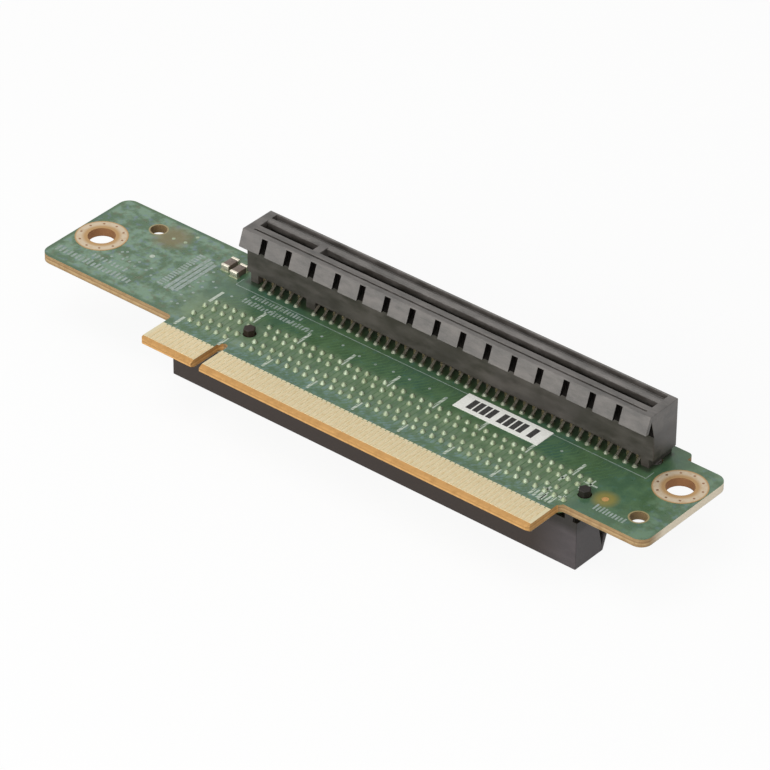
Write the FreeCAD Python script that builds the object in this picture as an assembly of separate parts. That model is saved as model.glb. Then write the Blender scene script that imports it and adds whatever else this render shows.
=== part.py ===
import FreeCAD, Part
import math
import os

# A double-sided riser card for servers: a printed circuit board with a gold edge tab along the
# front, one x16 card slot on its top face and a second one on its underside.
#
# Millimetres. The origin is the middle of the tab's leading edge, at half the board's thickness.
# +X runs along the board away from the key notch, +Y from the tab into the board, +Z out of the
# face that carries the upper slot.

Vector = FreeCAD.Vector

# Board outline
board_thickness = 1.57
tab_width = 85.2
tab_depth = 8.5
left_ear_length = 31.4
right_ear_length = 17.3
ear_depth = 23.3
tongue_depth = 1.9
tongue_overhang = 2.5
board_corner_radius = 2.2
tongue_corner_radius = 1.0
inner_corner_radius = 1.0
tab_corner_chamfer = 0.5
tab_bevel_length = 0.9
tab_bevel_height = 0.45

# Key notch in the tab
key_from_tab_edge = 12.6
key_width = 1.9
key_depth = 8.0

# Contact fingers on both faces of the tab
contact_pitch = 1.0
key_to_first_contact = 1.5
finger_width = 0.7
finger_length = 4.8
finger_to_tab_side = 0.7
copper_thickness = 0.04

# Screw holes in the ears, plated through
screw_hole_diameter = 5.0
screw_land_diameter = 9.6
screw_hole_from_end = 4.9
left_screw_hole_setback = 10.9
right_screw_hole_setback = 16.4

# Small locating holes in the ears
locating_hole_diameter = 3.0
left_locating_hole_from_end = 11.2
left_locating_hole_setback = 19.0
right_locating_hole_from_end = 5.0
right_locating_hole_setback = 5.2

# Where the two slots stand: key to key along the board, and from the tab's leading edge
upper_slot_key_shift = 4.2
upper_slot_setback = 28.2
lower_slot_key_shift = 1.1
lower_slot_setback = 13.0

# Slot housing, as it stands on the board
slot_height = 11.25
slot_width = 7.5
slot_end_wall = 1.75
card_clearance = 0.15
card_gap_depth = 8.7
card_gap_lead_in = 0.35
neck_half_width = 2.65
neck_drop = 4.6
channel_half_width = 1.9
roof_thickness = 1.5
floor_height = 1.75
foot_inset = 0.8
foot_past_contact = 0.45

# Flared front wall of the housing, cut into panels
flare_reach = 1.2
flare_drop = 3.2
flare_wall = 0.8
window_count = 15
window_width = 1.2
window_depth = 0.85
first_window_from_left_end = 5.2
last_window_from_right_end = 6.4
window_rim = 0.35

# Grooves in the top of the housing
rear_groove_width = 1.4
rear_groove_depth = 1.0
rear_groove_from_edge = 0.4
front_groove_width = 0.4
front_groove_depth = 0.4
front_groove_from_edge = 1.0

# Six-sided plastic pegs that pass through round holes in the board
peg_width_over_corners = 2.3
peg_tip_length = 1.2
peg_hole_clearance = 0.15
end_peg_from_last_contact = 1.65

# Spring contacts and their tails
contact_width = 0.45
contact_metal = 0.25
contact_top_below_roof = 0.35
contact_bite = 0.06
inner_row_offset = 1.5
outer_row_offset = 3.5
knee_offset = 1.6
knee_below_floor = 0.15

# Solder joint round each tail, on the far face of the board
joint_size = 1.1
joint_height = 0.9

# Chip capacitors beside the upper slot, lying along Y
capacitor_length = 3.2
capacitor_width = 1.6
capacitor_height = 1.15
terminal_length = 0.55
terminal_proud = 0.04
capacitor_gap_to_slot = 1.5
capacitor_spacing = 2.5
capacitor_stagger = 0.6
capacitor_setback = 17.5

# Paper label in front of the upper slot
label_length = 18.2
label_width = 4.6
label_thickness = 0.1
label_from_tab_middle = 20.5
label_setback = 21.1

# How far a cut runs past the faces that it opens
past = 1.0

# Sizes that follow from the ones above
face_z = board_thickness / 2
ear_front_y = tab_depth
ear_back_y = ear_front_y + ear_depth
board_left_x = -tab_width / 2 - left_ear_length
board_right_x = tab_width / 2 + right_ear_length
key_x = -tab_width / 2 + key_from_tab_edge
upper_key_x = key_x + upper_slot_key_shift
lower_key_x = key_x + lower_slot_key_shift
slot_half_width = slot_width / 2
card_gap_half = board_thickness / 2 + card_clearance / 2
key_bar_half = key_width / 2 - card_clearance

# Distances along the board from the key's middle, in the tab and in both slots
tab_right_of_key = tab_width - key_from_tab_edge
card_left = -key_from_tab_edge - card_clearance
card_right = tab_right_of_key + card_clearance
slot_left = card_left - slot_end_wall
slot_right = card_right + slot_end_wall
finger_edge = finger_width / 2 + finger_to_tab_side
contacts_before_key = 1 + int((key_from_tab_edge - key_to_first_contact - finger_edge) / contact_pitch)
contacts_after_key = 1 + int((tab_right_of_key - key_to_first_contact - finger_edge) / contact_pitch)
first_contact_x = -key_to_first_contact - (contacts_before_key - 1) * contact_pitch
last_contact_x = key_to_first_contact + (contacts_after_key - 1) * contact_pitch
end_peg_x = last_contact_x + end_peg_from_last_contact


def box(x0, x1, y0, y1, z0, z1):
    return Part.makeBox(x1 - x0, y1 - y0, z1 - z0, Vector(x0, y0, z0))


def prism_along_x(section, x0, x1):
    # A (y, z) outline drawn out from x0 to x1
    points = [Vector(x0, y, z) for y, z in section]
    face = Part.Face(Part.makePolygon(points + points[:1]))
    return face.extrude(Vector(x1 - x0, 0, 0))


def rounded_outline(corners):
    # A closed wire through (x, y, radius) corners, each turned by an arc of its radius, or left
    # sharp where the radius is 0
    edges = []
    starts = []
    ends = []
    count = len(corners)
    for i, (x, y, radius) in enumerate(corners):
        here = Vector(x, y, 0)
        before = Vector(*corners[i - 1][:2], 0)
        after = Vector(*corners[(i + 1) % count][:2], 0)
        to_before = (before - here).normalize()
        to_after = (after - here).normalize()
        half_angle = to_before.getAngle(to_after) / 2
        reach = radius / math.tan(half_angle)
        starts.append(here + to_before * reach)
        ends.append(here + to_after * reach)
        if radius > 0:
            bisector = (to_before + to_after).normalize()
            middle = here + bisector * (radius / math.sin(half_angle) - radius)
            edges.append(Part.Arc(starts[i], middle, ends[i]).toShape())
    for i in range(count):
        edges.append(Part.LineSegment(ends[i], starts[(i + 1) % count]).toShape())
    return Part.Wire(Part.__sortEdges__(edges))


def contact_positions():
    # Distance of every contact from the key's middle, with its number
    positions = []
    for i in range(contacts_before_key):
        positions.append((i + 1, first_contact_x + i * contact_pitch))
    for i in range(contacts_after_key):
        positions.append((contacts_before_key + i + 1, key_to_first_contact + i * contact_pitch))
    return positions


def screw_hole_places():
    return [
        (board_left_x + screw_hole_from_end, ear_front_y + left_screw_hole_setback),
        (board_right_x - screw_hole_from_end, ear_front_y + right_screw_hole_setback),
    ]


def locating_hole_places():
    return [
        (board_left_x + left_locating_hole_from_end, ear_front_y + left_locating_hole_setback),
        (board_right_x - right_locating_hole_from_end, ear_front_y + right_locating_hole_setback),
    ]


def peg_places():
    places = []
    for slot_key_x, setback in ((upper_key_x, upper_slot_setback), (lower_key_x, lower_slot_setback)):
        places.append((slot_key_x, setback))
        places.append((slot_key_x + end_peg_x, setback))
    return places


def upright_cylinder(x, y, z0, z1, diameter):
    return Part.makeCylinder(diameter / 2, z1 - z0, Vector(x, y, z0))


def circuit_board():
    tongue_left = upper_key_x + slot_left - tongue_overhang
    tongue_right = upper_key_x + slot_right + tongue_overhang
    tongue_back_y = ear_back_y + tongue_depth
    half_tab = tab_width / 2
    corners = [
        (-half_tab, tab_corner_chamfer, 0),
        (-half_tab + tab_corner_chamfer, 0, 0),
        (half_tab - tab_corner_chamfer, 0, 0),
        (half_tab, tab_corner_chamfer, 0),
        (half_tab, ear_front_y, inner_corner_radius),
        (board_right_x, ear_front_y, board_corner_radius),
        (board_right_x, ear_back_y, board_corner_radius),
        (tongue_right, ear_back_y, 0),
        (tongue_right, tongue_back_y, tongue_corner_radius),
        (tongue_left, tongue_back_y, tongue_corner_radius),
        (tongue_left, ear_back_y, 0),
        (board_left_x, ear_back_y, board_corner_radius),
        (board_left_x, ear_front_y, board_corner_radius),
        (-half_tab, ear_front_y, inner_corner_radius),
    ]
    outline = rounded_outline(corners)
    outline.translate(Vector(0, 0, -face_z))
    board = Part.Face(outline).extrude(Vector(0, 0, board_thickness))

    # The leading edge is bevelled on both faces so that the tab finds its slot
    for side in (1, -1):
        bevel = [
            (0, side * (face_z - tab_bevel_height)),
            (tab_bevel_length, side * face_z),
            (0, side * (face_z + past)),
        ]
        board = board.cut(prism_along_x(bevel, -half_tab - past, half_tab + past))

    # The key notch has a round end
    notch_end_y = key_depth - key_width / 2
    low = -face_z - past
    high = face_z + past
    notch = box(key_x - key_width / 2, key_x + key_width / 2, -past, notch_end_y, low, high)
    notch = notch.fuse(upright_cylinder(key_x, notch_end_y, low, high, key_width))
    board = board.cut(notch)

    # A plated land stands proud of both faces round each screw hole
    land_z = face_z + copper_thickness
    for x, y in screw_hole_places():
        board = board.fuse(upright_cylinder(x, y, -land_z, land_z, screw_land_diameter))

    drill_lists = (
        (screw_hole_places(), screw_hole_diameter),
        (locating_hole_places(), locating_hole_diameter),
        (peg_places(), peg_width_over_corners + peg_hole_clearance),
    )
    for places, diameter in drill_lists:
        for x, y in places:
            board = board.cut(upright_cylinder(x, y, low, high, diameter))
    return board.removeSplitter()


def edge_fingers(side):
    # One gold pad for each contact, from behind the bevel to the solder mask
    fingers = []
    z = face_z if side > 0 else -face_z - copper_thickness
    for number, distance in contact_positions():
        x = key_x + distance
        fingers.append(box(
            x - finger_width / 2, x + finger_width / 2,
            tab_bevel_length, tab_bevel_length + finger_length,
            z, z + copper_thickness,
        ))
    return Part.makeCompound(fingers)


def locating_peg(x):
    # Hangs below the housing, through the board and out of its far face
    radius = peg_width_over_corners / 2
    points = []
    for i in range(6):
        angle = math.radians(60 * i)
        points.append(Vector(x + radius * math.cos(angle), radius * math.sin(angle), 0))
    face = Part.Face(Part.makePolygon(points + points[:1]))
    return face.extrude(Vector(0, 0, -board_thickness - peg_tip_length))


def slot_segments():
    # The card gap runs from each end wall to the key bar
    return [(card_left, -key_bar_half), (key_bar_half, card_right)]


def slot_housing():
    # Built with the key's middle at x = 0, the card's centre plane at y = 0, the board at z = 0 and
    # the flared wall towards -Y
    top = slot_height
    body = prism_along_x([
        (slot_half_width, 0), (slot_half_width, top), (-slot_half_width, top),
        (-neck_half_width, top - neck_drop), (-neck_half_width, 0),
    ], slot_left, slot_right)

    # The front wall flares outwards and down, with a gap behind its lower edge. Windows cut it
    # into panels that hang from one rim, and go on into the wall behind as dark slots.
    flare_bottom = top - flare_drop
    flare_front = -slot_half_width - flare_reach
    flare = prism_along_x([
        (-slot_half_width, top), (flare_front, flare_bottom),
        (flare_front + flare_wall, flare_bottom), (-slot_half_width + flare_wall, top),
    ], slot_left, slot_right)
    body = body.fuse(flare)
    first_window_x = slot_left + first_window_from_left_end
    last_window_x = slot_right - last_window_from_right_end
    window_pitch = (last_window_x - first_window_x) / (window_count - 1)
    for i in range(window_count):
        x = first_window_x + i * window_pitch
        body = body.cut(box(
            x - window_width / 2, x + window_width / 2,
            flare_front - past, -slot_half_width + window_depth, 0, top - window_rim,
        ))

    gap_floor = top - card_gap_depth
    channel_top = top - roof_thickness
    for x0, x1 in slot_segments():
        # Card gap with a lead-in along its mouth
        lip = card_gap_half + card_gap_lead_in
        body = body.cut(prism_along_x([
            (-card_gap_half, gap_floor), (card_gap_half, gap_floor),
            (card_gap_half, top - card_gap_lead_in), (lip, top),
            (-lip, top), (-card_gap_half, top - card_gap_lead_in),
        ], x0, x1))

    # Grooves that leave a rim along both long edges of the top
    rear_edge = slot_half_width - rear_groove_from_edge
    body = body.cut(box(
        card_left, card_right, rear_edge - rear_groove_width, rear_edge, top - rear_groove_depth, top,
    ))
    front_edge = -slot_half_width + front_groove_from_edge
    body = body.cut(box(
        card_left, card_right, front_edge, front_edge + front_groove_width,
        top - front_groove_depth, top,
    ))

    # The housing stands on feet at both ends and at the key, joined by a spine between the inner
    # tails. The contacts rise through channels on both sides of the spine and the card gap.
    runs = (
        (first_contact_x - foot_past_contact, -key_to_first_contact + foot_past_contact),
        (key_to_first_contact - foot_past_contact, last_contact_x + foot_past_contact),
    )
    for x0, x1 in runs:
        for side in (1, -1):
            near, far = sorted((side * card_gap_half, side * channel_half_width))
            body = body.cut(box(x0, x1, near, far, 0, channel_top))
            near, far = sorted((side * card_gap_half, side * (slot_half_width + past)))
            body = body.cut(box(x0, x1, near, far, 0, floor_height))

    # Each end face steps back above the board
    for x in (slot_left, slot_right):
        body = body.cut(box(x - foot_inset, x + foot_inset, -slot_width, slot_width, 0, floor_height))

    for x in (0, end_peg_x):
        body = body.fuse(locating_peg(x))
    return body.removeSplitter()


def slot_contacts(side, outer):
    # Blades lean towards the card and thin out to their tips. Every second one bends under the
    # housing's floor and reaches out to the outer row.
    half_metal = contact_metal / 2
    tip = (card_gap_half - contact_bite, slot_height - roof_thickness - contact_top_below_roof)
    row = outer_row_offset if outer else inner_row_offset
    foot = [(row - half_metal, 0), (row + half_metal, 0)]
    section = [tip] + foot
    if outer:
        knee_z = floor_height - knee_below_floor - half_metal
        knee_inside = (knee_offset - half_metal, knee_z - half_metal)
        knee_outside = (knee_offset + half_metal, knee_z + half_metal)
        section = [tip, knee_inside] + foot + [knee_outside]
    section = [(side * y, z) for y, z in section]
    contacts = []
    for number, x in contact_positions():
        if (number % 2 == 0) == outer:
            contacts.append(prism_along_x(section, x - contact_width / 2, x + contact_width / 2))
    return Part.makeCompound(contacts)


def solder_joint(x, y):
    # A fillet that rises to the tail's tip, on a square land
    half = joint_size / 2
    base = [Vector(x - half, y - half, 0), Vector(x + half, y - half, 0),
            Vector(x + half, y + half, 0), Vector(x - half, y + half, 0)]
    tip = Vector(x, y, joint_height)
    faces = [Part.Face(Part.makePolygon(base + base[:1]))]
    for i in range(4):
        corner = base[i]
        following = base[(i + 1) % 4]
        faces.append(Part.Face(Part.makePolygon([corner, following, tip, corner])))
    solid = Part.Solid(Part.Shell(faces))
    if solid.Volume < 0:
        solid.reverse()
    return solid


def solder_joints(outer):
    row = outer_row_offset if outer else inner_row_offset
    joints = []
    for number, x in contact_positions():
        if (number % 2 == 0) == outer:
            joints.append(solder_joint(x, row))
            joints.append(solder_joint(x, -row))
    return Part.makeCompound(joints)


def stand_on_top(shape, x, y):
    placed = shape.copy()
    placed.translate(Vector(x, y, face_z))
    return placed


def hang_below(shape, x, y):
    # Turned over about the X axis, so the key keeps its place along the board
    placed = shape.copy()
    placed.rotate(Vector(0, 0, 0), Vector(1, 0, 0), 180)
    placed.translate(Vector(x, y, -face_z))
    return placed


def capacitor_places():
    last_x = upper_key_x + slot_left - capacitor_gap_to_slot - capacitor_width / 2
    y = ear_front_y + capacitor_setback
    return [(last_x - capacitor_spacing, y + capacitor_stagger), (last_x, y)]


def capacitor_bodies():
    bodies = []
    for x, y in capacitor_places():
        half_length = capacitor_length / 2 - terminal_length
        bodies.append(box(
            x - capacitor_width / 2, x + capacitor_width / 2, y - half_length, y + half_length,
            face_z + terminal_proud, face_z + capacitor_height,
        ))
    return Part.makeCompound(bodies)


def capacitor_terminals():
    terminals = []
    half_width = capacitor_width / 2 + terminal_proud
    for x, y in capacitor_places():
        for side in (1, -1):
            inner = y + side * (capacitor_length / 2 - terminal_length)
            outer = y + side * capacitor_length / 2
            terminals.append(box(
                x - half_width, x + half_width, min(inner, outer), max(inner, outer),
                face_z, face_z + capacitor_height + terminal_proud,
            ))
    return Part.makeCompound(terminals)


def paper_label():
    x = label_from_tab_middle
    y = label_setback
    return box(
        x - label_length / 2, x + label_length / 2, y - label_width / 2, y + label_width / 2,
        face_z, face_z + label_thickness,
    )


def build():
    nodes = {
        "circuit_board": circuit_board(),
        "edge_fingers_top": edge_fingers(1),
        "edge_fingers_bottom": edge_fingers(-1),
        "capacitor_bodies": capacitor_bodies(),
        "capacitor_terminals": capacitor_terminals(),
        "paper_label": paper_label(),
    }
    housing = slot_housing()
    slots = (
        ("upper_slot", stand_on_top, hang_below, upper_key_x, upper_slot_setback),
        ("lower_slot", hang_below, stand_on_top, lower_key_x, lower_slot_setback),
    )
    for name, seat, far_side, x, y in slots:
        nodes[f"{name}_housing"] = seat(housing, x, y)
        for row, outer in (("inner", False), ("outer", True)):
            nodes[f"{name}_{row}_solder_joints"] = far_side(solder_joints(outer), x, y)
            nodes[f"{name}_{row}_contacts_plain_side"] = seat(slot_contacts(1, outer), x, y)
            nodes[f"{name}_{row}_contacts_flared_side"] = seat(slot_contacts(-1, outer), x, y)
    return nodes


os.makedirs("parts", exist_ok=True)
for node, shape in build().items():
    shape.exportStep(f"parts/{node}.step")
    print(node, len(shape.Solids), round(shape.Volume, 2), shape.isValid())
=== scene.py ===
import math
import random

import bmesh
import bpy
from mathutils import Matrix, Vector


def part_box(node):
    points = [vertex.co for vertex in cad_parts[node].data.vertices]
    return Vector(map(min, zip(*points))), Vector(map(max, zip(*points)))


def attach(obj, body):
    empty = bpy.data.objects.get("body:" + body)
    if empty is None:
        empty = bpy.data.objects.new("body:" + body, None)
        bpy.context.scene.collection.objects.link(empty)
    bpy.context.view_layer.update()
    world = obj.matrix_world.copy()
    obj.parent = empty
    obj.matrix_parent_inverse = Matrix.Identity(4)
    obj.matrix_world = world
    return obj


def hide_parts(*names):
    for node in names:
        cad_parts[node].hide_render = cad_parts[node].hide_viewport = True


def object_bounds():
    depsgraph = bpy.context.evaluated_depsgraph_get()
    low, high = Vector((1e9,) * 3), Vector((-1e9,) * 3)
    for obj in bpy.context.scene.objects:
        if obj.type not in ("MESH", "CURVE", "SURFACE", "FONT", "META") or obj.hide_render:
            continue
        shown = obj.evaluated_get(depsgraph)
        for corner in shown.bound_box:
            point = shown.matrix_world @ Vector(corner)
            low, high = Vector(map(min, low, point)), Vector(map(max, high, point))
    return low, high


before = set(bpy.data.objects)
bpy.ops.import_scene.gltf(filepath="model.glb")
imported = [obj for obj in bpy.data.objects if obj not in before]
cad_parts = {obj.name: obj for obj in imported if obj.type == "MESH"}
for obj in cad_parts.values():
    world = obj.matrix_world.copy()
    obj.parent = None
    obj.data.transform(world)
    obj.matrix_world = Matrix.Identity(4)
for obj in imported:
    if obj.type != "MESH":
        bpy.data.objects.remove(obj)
cadLow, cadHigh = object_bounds()

mm = 0.001
chance = random.Random(11)  # one seeded source for all the small unevenness

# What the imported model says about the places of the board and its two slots
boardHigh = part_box("circuit_board")[1]
slotBox = {
    "upper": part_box("upper_slot_housing"),
    "lower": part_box("lower_slot_housing"),
}

board = {
    "landHeight": 0.04,  # the screw lands stand this far proud of both faces
    "tabHalf": 42.6,
    "maskEdge": 6.1,  # the solder mask starts here, behind the gold fingers
    "keyX": -30.0,
    "screwHoles": ((-69.1, 19.4), (55.0, 24.9)),
    "screwRadius": 2.5,
    "landWidth": 2.4,
    "locatingHoles": ((-62.8, 27.5), (54.9, 13.7)),
    "locatingRadius": 1.5,
    "wornRim": 0.3,  # width of the rubbed mask round a locating hole
    "target": (47.7, 14.1),  # gold dot that a placing machine aims at
    "sunk": 0.01,  # thin metal starts this far below the face that it lies on
}
faceZ = boardHigh.z / mm - board["landHeight"]

slot = {
    "endToKey": 14.5,  # from a housing's left end to the middle of its key bar
    "setback": {"upper": 28.2, "lower": 13.0},
    "pitch": 1.0,
    "keyToContact": 1.5,
    "beforeKey": 11,
    "afterKey": 71,
    "innerRow": 1.5,
    "outerRow": 3.5,
}


# Small tools for meshes

def srgb(code):
    # A hex colour as it looks on a screen, turned to the linear values that the shaders use
    channels = [int(code[i:i + 2], 16) / 255 for i in (0, 2, 4)]
    return [c / 12.92 if c <= 0.04045 else ((c + 0.055) / 1.055) ** 2.4 for c in channels] + [1.0]


def meshFrom(bm, name):
    mesh = bpy.data.meshes.new(name)
    bm.to_mesh(mesh)
    bm.free()
    return mesh


def finishPiece(bm, name, material, replaced=(), smoothAngle=None):
    mesh = meshFrom(bm, name)
    piece = bpy.data.objects.new(name, mesh)
    bpy.context.scene.collection.objects.link(piece)
    mesh.materials.append(material)
    if smoothAngle is not None:
        mesh.shade_smooth()
        mesh.set_sharp_from_angle(angle=math.radians(smoothAngle))
    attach(piece, "root")
    if replaced:
        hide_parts(*replaced)
    print("made", name, len(mesh.polygons), "faces")
    return piece


def mergedCopy(nodeName):
    # A CAD node's mesh is loose triangles: its corners are joined and its flat faces made whole
    bm = bmesh.new()
    bm.from_mesh(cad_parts[nodeName].data)
    bmesh.ops.remove_doubles(bm, verts=bm.verts, dist=0.001 * mm)
    bmesh.ops.dissolve_limit(
        bm, angle_limit=math.radians(1), use_dissolve_boundaries=False,
        verts=bm.verts, edges=bm.edges, delimit=set(),
    )
    return bm


def addCopies(bm, template, places):
    # Copies of a finished small mesh, each put in place by its own matrix
    for place in places:
        before = len(bm.verts)
        bm.from_mesh(template)
        bm.verts.ensure_lookup_table()
        bmesh.ops.transform(bm, matrix=place, verts=bm.verts[before:])


def easeEdges(bm, edges, offset, segments):
    bmesh.ops.bevel(
        bm, geom=edges, offset=offset * mm, offset_type="OFFSET", affect="EDGES",
        segments=segments, profile=0.5, material=-1, clamp_overlap=True,
    )


def addBlock(bm, low, high, ease):
    # An upright block between two corners, in millimetres, with its edges eased
    low, high = Vector(low), Vector(high)
    size = high - low
    place = Matrix.Translation((low + high) / 2 * mm) @ Matrix.Diagonal((*(size * mm), 1.0))
    verts = bmesh.ops.create_cube(bm, size=1.0, matrix=place)["verts"]
    easeEdges(bm, [edge for edge in bm.edges if edge.verts[0] in verts], ease, 1)


def raiseFaces(bm, faces, height):
    raised = bmesh.ops.extrude_face_region(bm, geom=faces, use_keep_orig=True)["geom"]
    tops = [g for g in raised if isinstance(g, bmesh.types.BMVert)]
    bmesh.ops.translate(bm, vec=(0, 0, height * mm), verts=tops)


def addRibbon(bm, points, width, low, high):
    # A flat track through (x, y) points: a short edge pulled along, then raised
    x, y = points[0]
    ends = [bm.verts.new(((x + side * width / 2) * mm, y * mm, low * mm)) for side in (1, -1)]
    edge = bm.edges.new(ends)
    faces = []
    for (x0, y0), (x1, y1) in zip(points, points[1:]):
        grown = bmesh.ops.extrude_edge_only(bm, edges=[edge])["geom"]
        verts = [g for g in grown if isinstance(g, bmesh.types.BMVert)]
        edge = next(g for g in grown if isinstance(g, bmesh.types.BMEdge) and set(g.verts) == set(verts))
        faces += [g for g in grown if isinstance(g, bmesh.types.BMFace)]
        bmesh.ops.translate(bm, vec=Vector((x1 - x0, y1 - y0, 0)) * mm, verts=verts)
    raiseFaces(bm, faces, high - low)


def addDisc(bm, x, y, radius, low, high, segments):
    # A flat round pad
    place = Matrix.Translation(Vector((x, y, low)) * mm)
    verts = bmesh.ops.create_circle(
        bm, cap_ends=True, radius=radius * mm, segments=segments, matrix=place,
    )["verts"]
    raiseFaces(bm, [next(f for f in verts[0].link_faces if len(f.verts) == segments)], high - low)


def onFace(side, rise, sunk=board["sunk"], face=faceZ):
    # Lowest and highest point of a thin piece on the top face (side 1) or the lower one (side -1)
    return sorted((side * (face - sunk), side * (face + rise)))


def contactXs(slotName, outer):
    # Even contacts have their tails in the outer rows, odd ones in the inner rows
    keyX = slotBox[slotName][0].x / mm + slot["endToKey"]
    before = [-slot["keyToContact"] - i * slot["pitch"] for i in reversed(range(slot["beforeKey"]))]
    after = [slot["keyToContact"] + i * slot["pitch"] for i in range(slot["afterKey"])]
    return [keyX + d for number, d in enumerate(before + after, 1) if (number % 2 == 0) == outer]


# Small tools for materials

def feed(tree, node, inputs):
    # An input is a plain value, a socket, or a node whose first output is meant
    for socket, value in inputs.items():
        source = value.outputs[0] if isinstance(value, bpy.types.Node) else value
        if isinstance(source, bpy.types.NodeSocket):
            tree.links.new(source, node.inputs[socket])
        else:
            node.inputs[socket].default_value = source


def addNode(tree, kind, inputs=None, **settings):
    made = tree.nodes.new("ShaderNode" + kind)
    for name, value in settings.items():
        setattr(made, name, value)
    feed(tree, made, inputs or {})
    return made


def newMaterial(name, **fixed):
    # fixed holds the numbers that are the same all over the surface
    material = bpy.data.materials.new(name)
    material.use_nodes = True
    tree = material.node_tree
    shader = tree.nodes["Principled BSDF"]
    feed(tree, shader, {socket.replace("_", " "): value for socket, value in fixed.items()})
    place = addNode(tree, "TexCoord").outputs["Object"]
    return material, tree, shader, place


def perMetre(sizeInMm):
    # Texture scale that makes one feature of about this many millimetres
    return 1 / (sizeInMm * mm)


def patched(tree, colour, *patches):
    # A colour with others laid over it. Each patch says by which value, from where it starts to
    # where it is full, how strong it gets and in what colour
    for value, start, full, most, tint in patches:
        share = addNode(tree, "MapRange", {
            "Value": value, "From Min": start, "From Max": full, "To Max": most,
        })
        colour = addNode(tree, "MixRGB", {"Fac": share, "Color1": colour, "Color2": tint})
    return colour


laminateLook = {
    "maskGreen": "44603f",
    "maskLight": "587650",
    "maskBlue": "3f5f49",
    "pourGreen": "486747",  # mask over the copper pour of the left ear
    "pourLight": "708c74",
    "pourBlue": "68778c",
    "pourBrown": "5d5c42",
    "thinMask": "786a42",
    "thinMaskRight": "877d3c",
    "teal": "4d7473",
    "joints": "8c9c7b",  # thin mask between the solder joints
    "fingers": "6f8b8c",  # cool mask beside the fingers
    "underSlot": "222a19",  # flux and shade below a housing
    "bareLaminate": "d9cda7",
    "tabEdge": "c99a5c",
    "tabEdgeDark": "9c713a",
    "earEdge": "ad9167",
    "earEdgeDark": "7b5c36",
    "smallHoleWall": "6f5a38",
    "smallHoleRim": "97895f",
    "sideEdge": "eee2cb",  # the right-hand end, cut with a fresh bit
    "screwHoleWall": "99714f",
    "land": "c4b6a0",
    "landRim": "b2936a",
}

# Where the board's look changes, in millimetres. Four numbers are a band along one axis: where it
# starts, where it is full, where it begins to fade and where it ends
laminateZones = {
    "pourAlong": (-73.6, -73.1, -47.0, -41.0),
    "pourAcross": (8.9, 9.4, 31.0, 31.4),
    "rightPour": (52.0, 57.5),
    "jointsAlong": (-48.0, -44.0, 41.5, 45.0),
    "jointsAcross": (7.6, 9.4, 16.6, 18.4),
    "fingersAlong": (-45.0, -42.0, 40.5, 43.5),
    "fingersAcross": (5.6, 6.2, 8.2, 11.5),
    "slotEnds": (0.3, 0.4),  # the shade below a housing starts this far out and is full this far in
    "slotSides": (3.95, 3.2),  # from the slot's middle to where it ends, and to where it is full
    "thinSpots": (  # centre, reach, strength and colour
        ((-59.2, 27.2), 4.4, 0.75, "thinMask"),
        (board["target"], 2.7, 0.9, "thinMaskRight"),
    ),
    "thinCore": 0.45,  # share of the reach at which such a spot is full
    "tolerance": 0.02,  # slack in telling faces and walls apart
    "grain": {"broad": 14, "patchy": 2.6, "blotchy": 1.3, "scorch": 1.2, "weave": 0.5},
    "layerSpan": 4.0,  # a wave texture has 3.2 crests in this length, so they lie 1.26 apart
    "scorchedLine": 0.15,  # height of the darkest layer in the sawn edge
    "scorchedWidth": (0.24, 0.1),
    "earEdgeFrom": 7.9,
    "freshCut": (0.4, 0.1),  # from the right-hand end
    "freshFrom": (10.2, 14.0),  # past the rounded corner
    "landInside": (1.2, 0.5),  # darker rims of a screw land: the inner one, from the hole's wall
    "landOutside": (0.5, 0.2),  # and the outer one, from the land's edge
}


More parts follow.
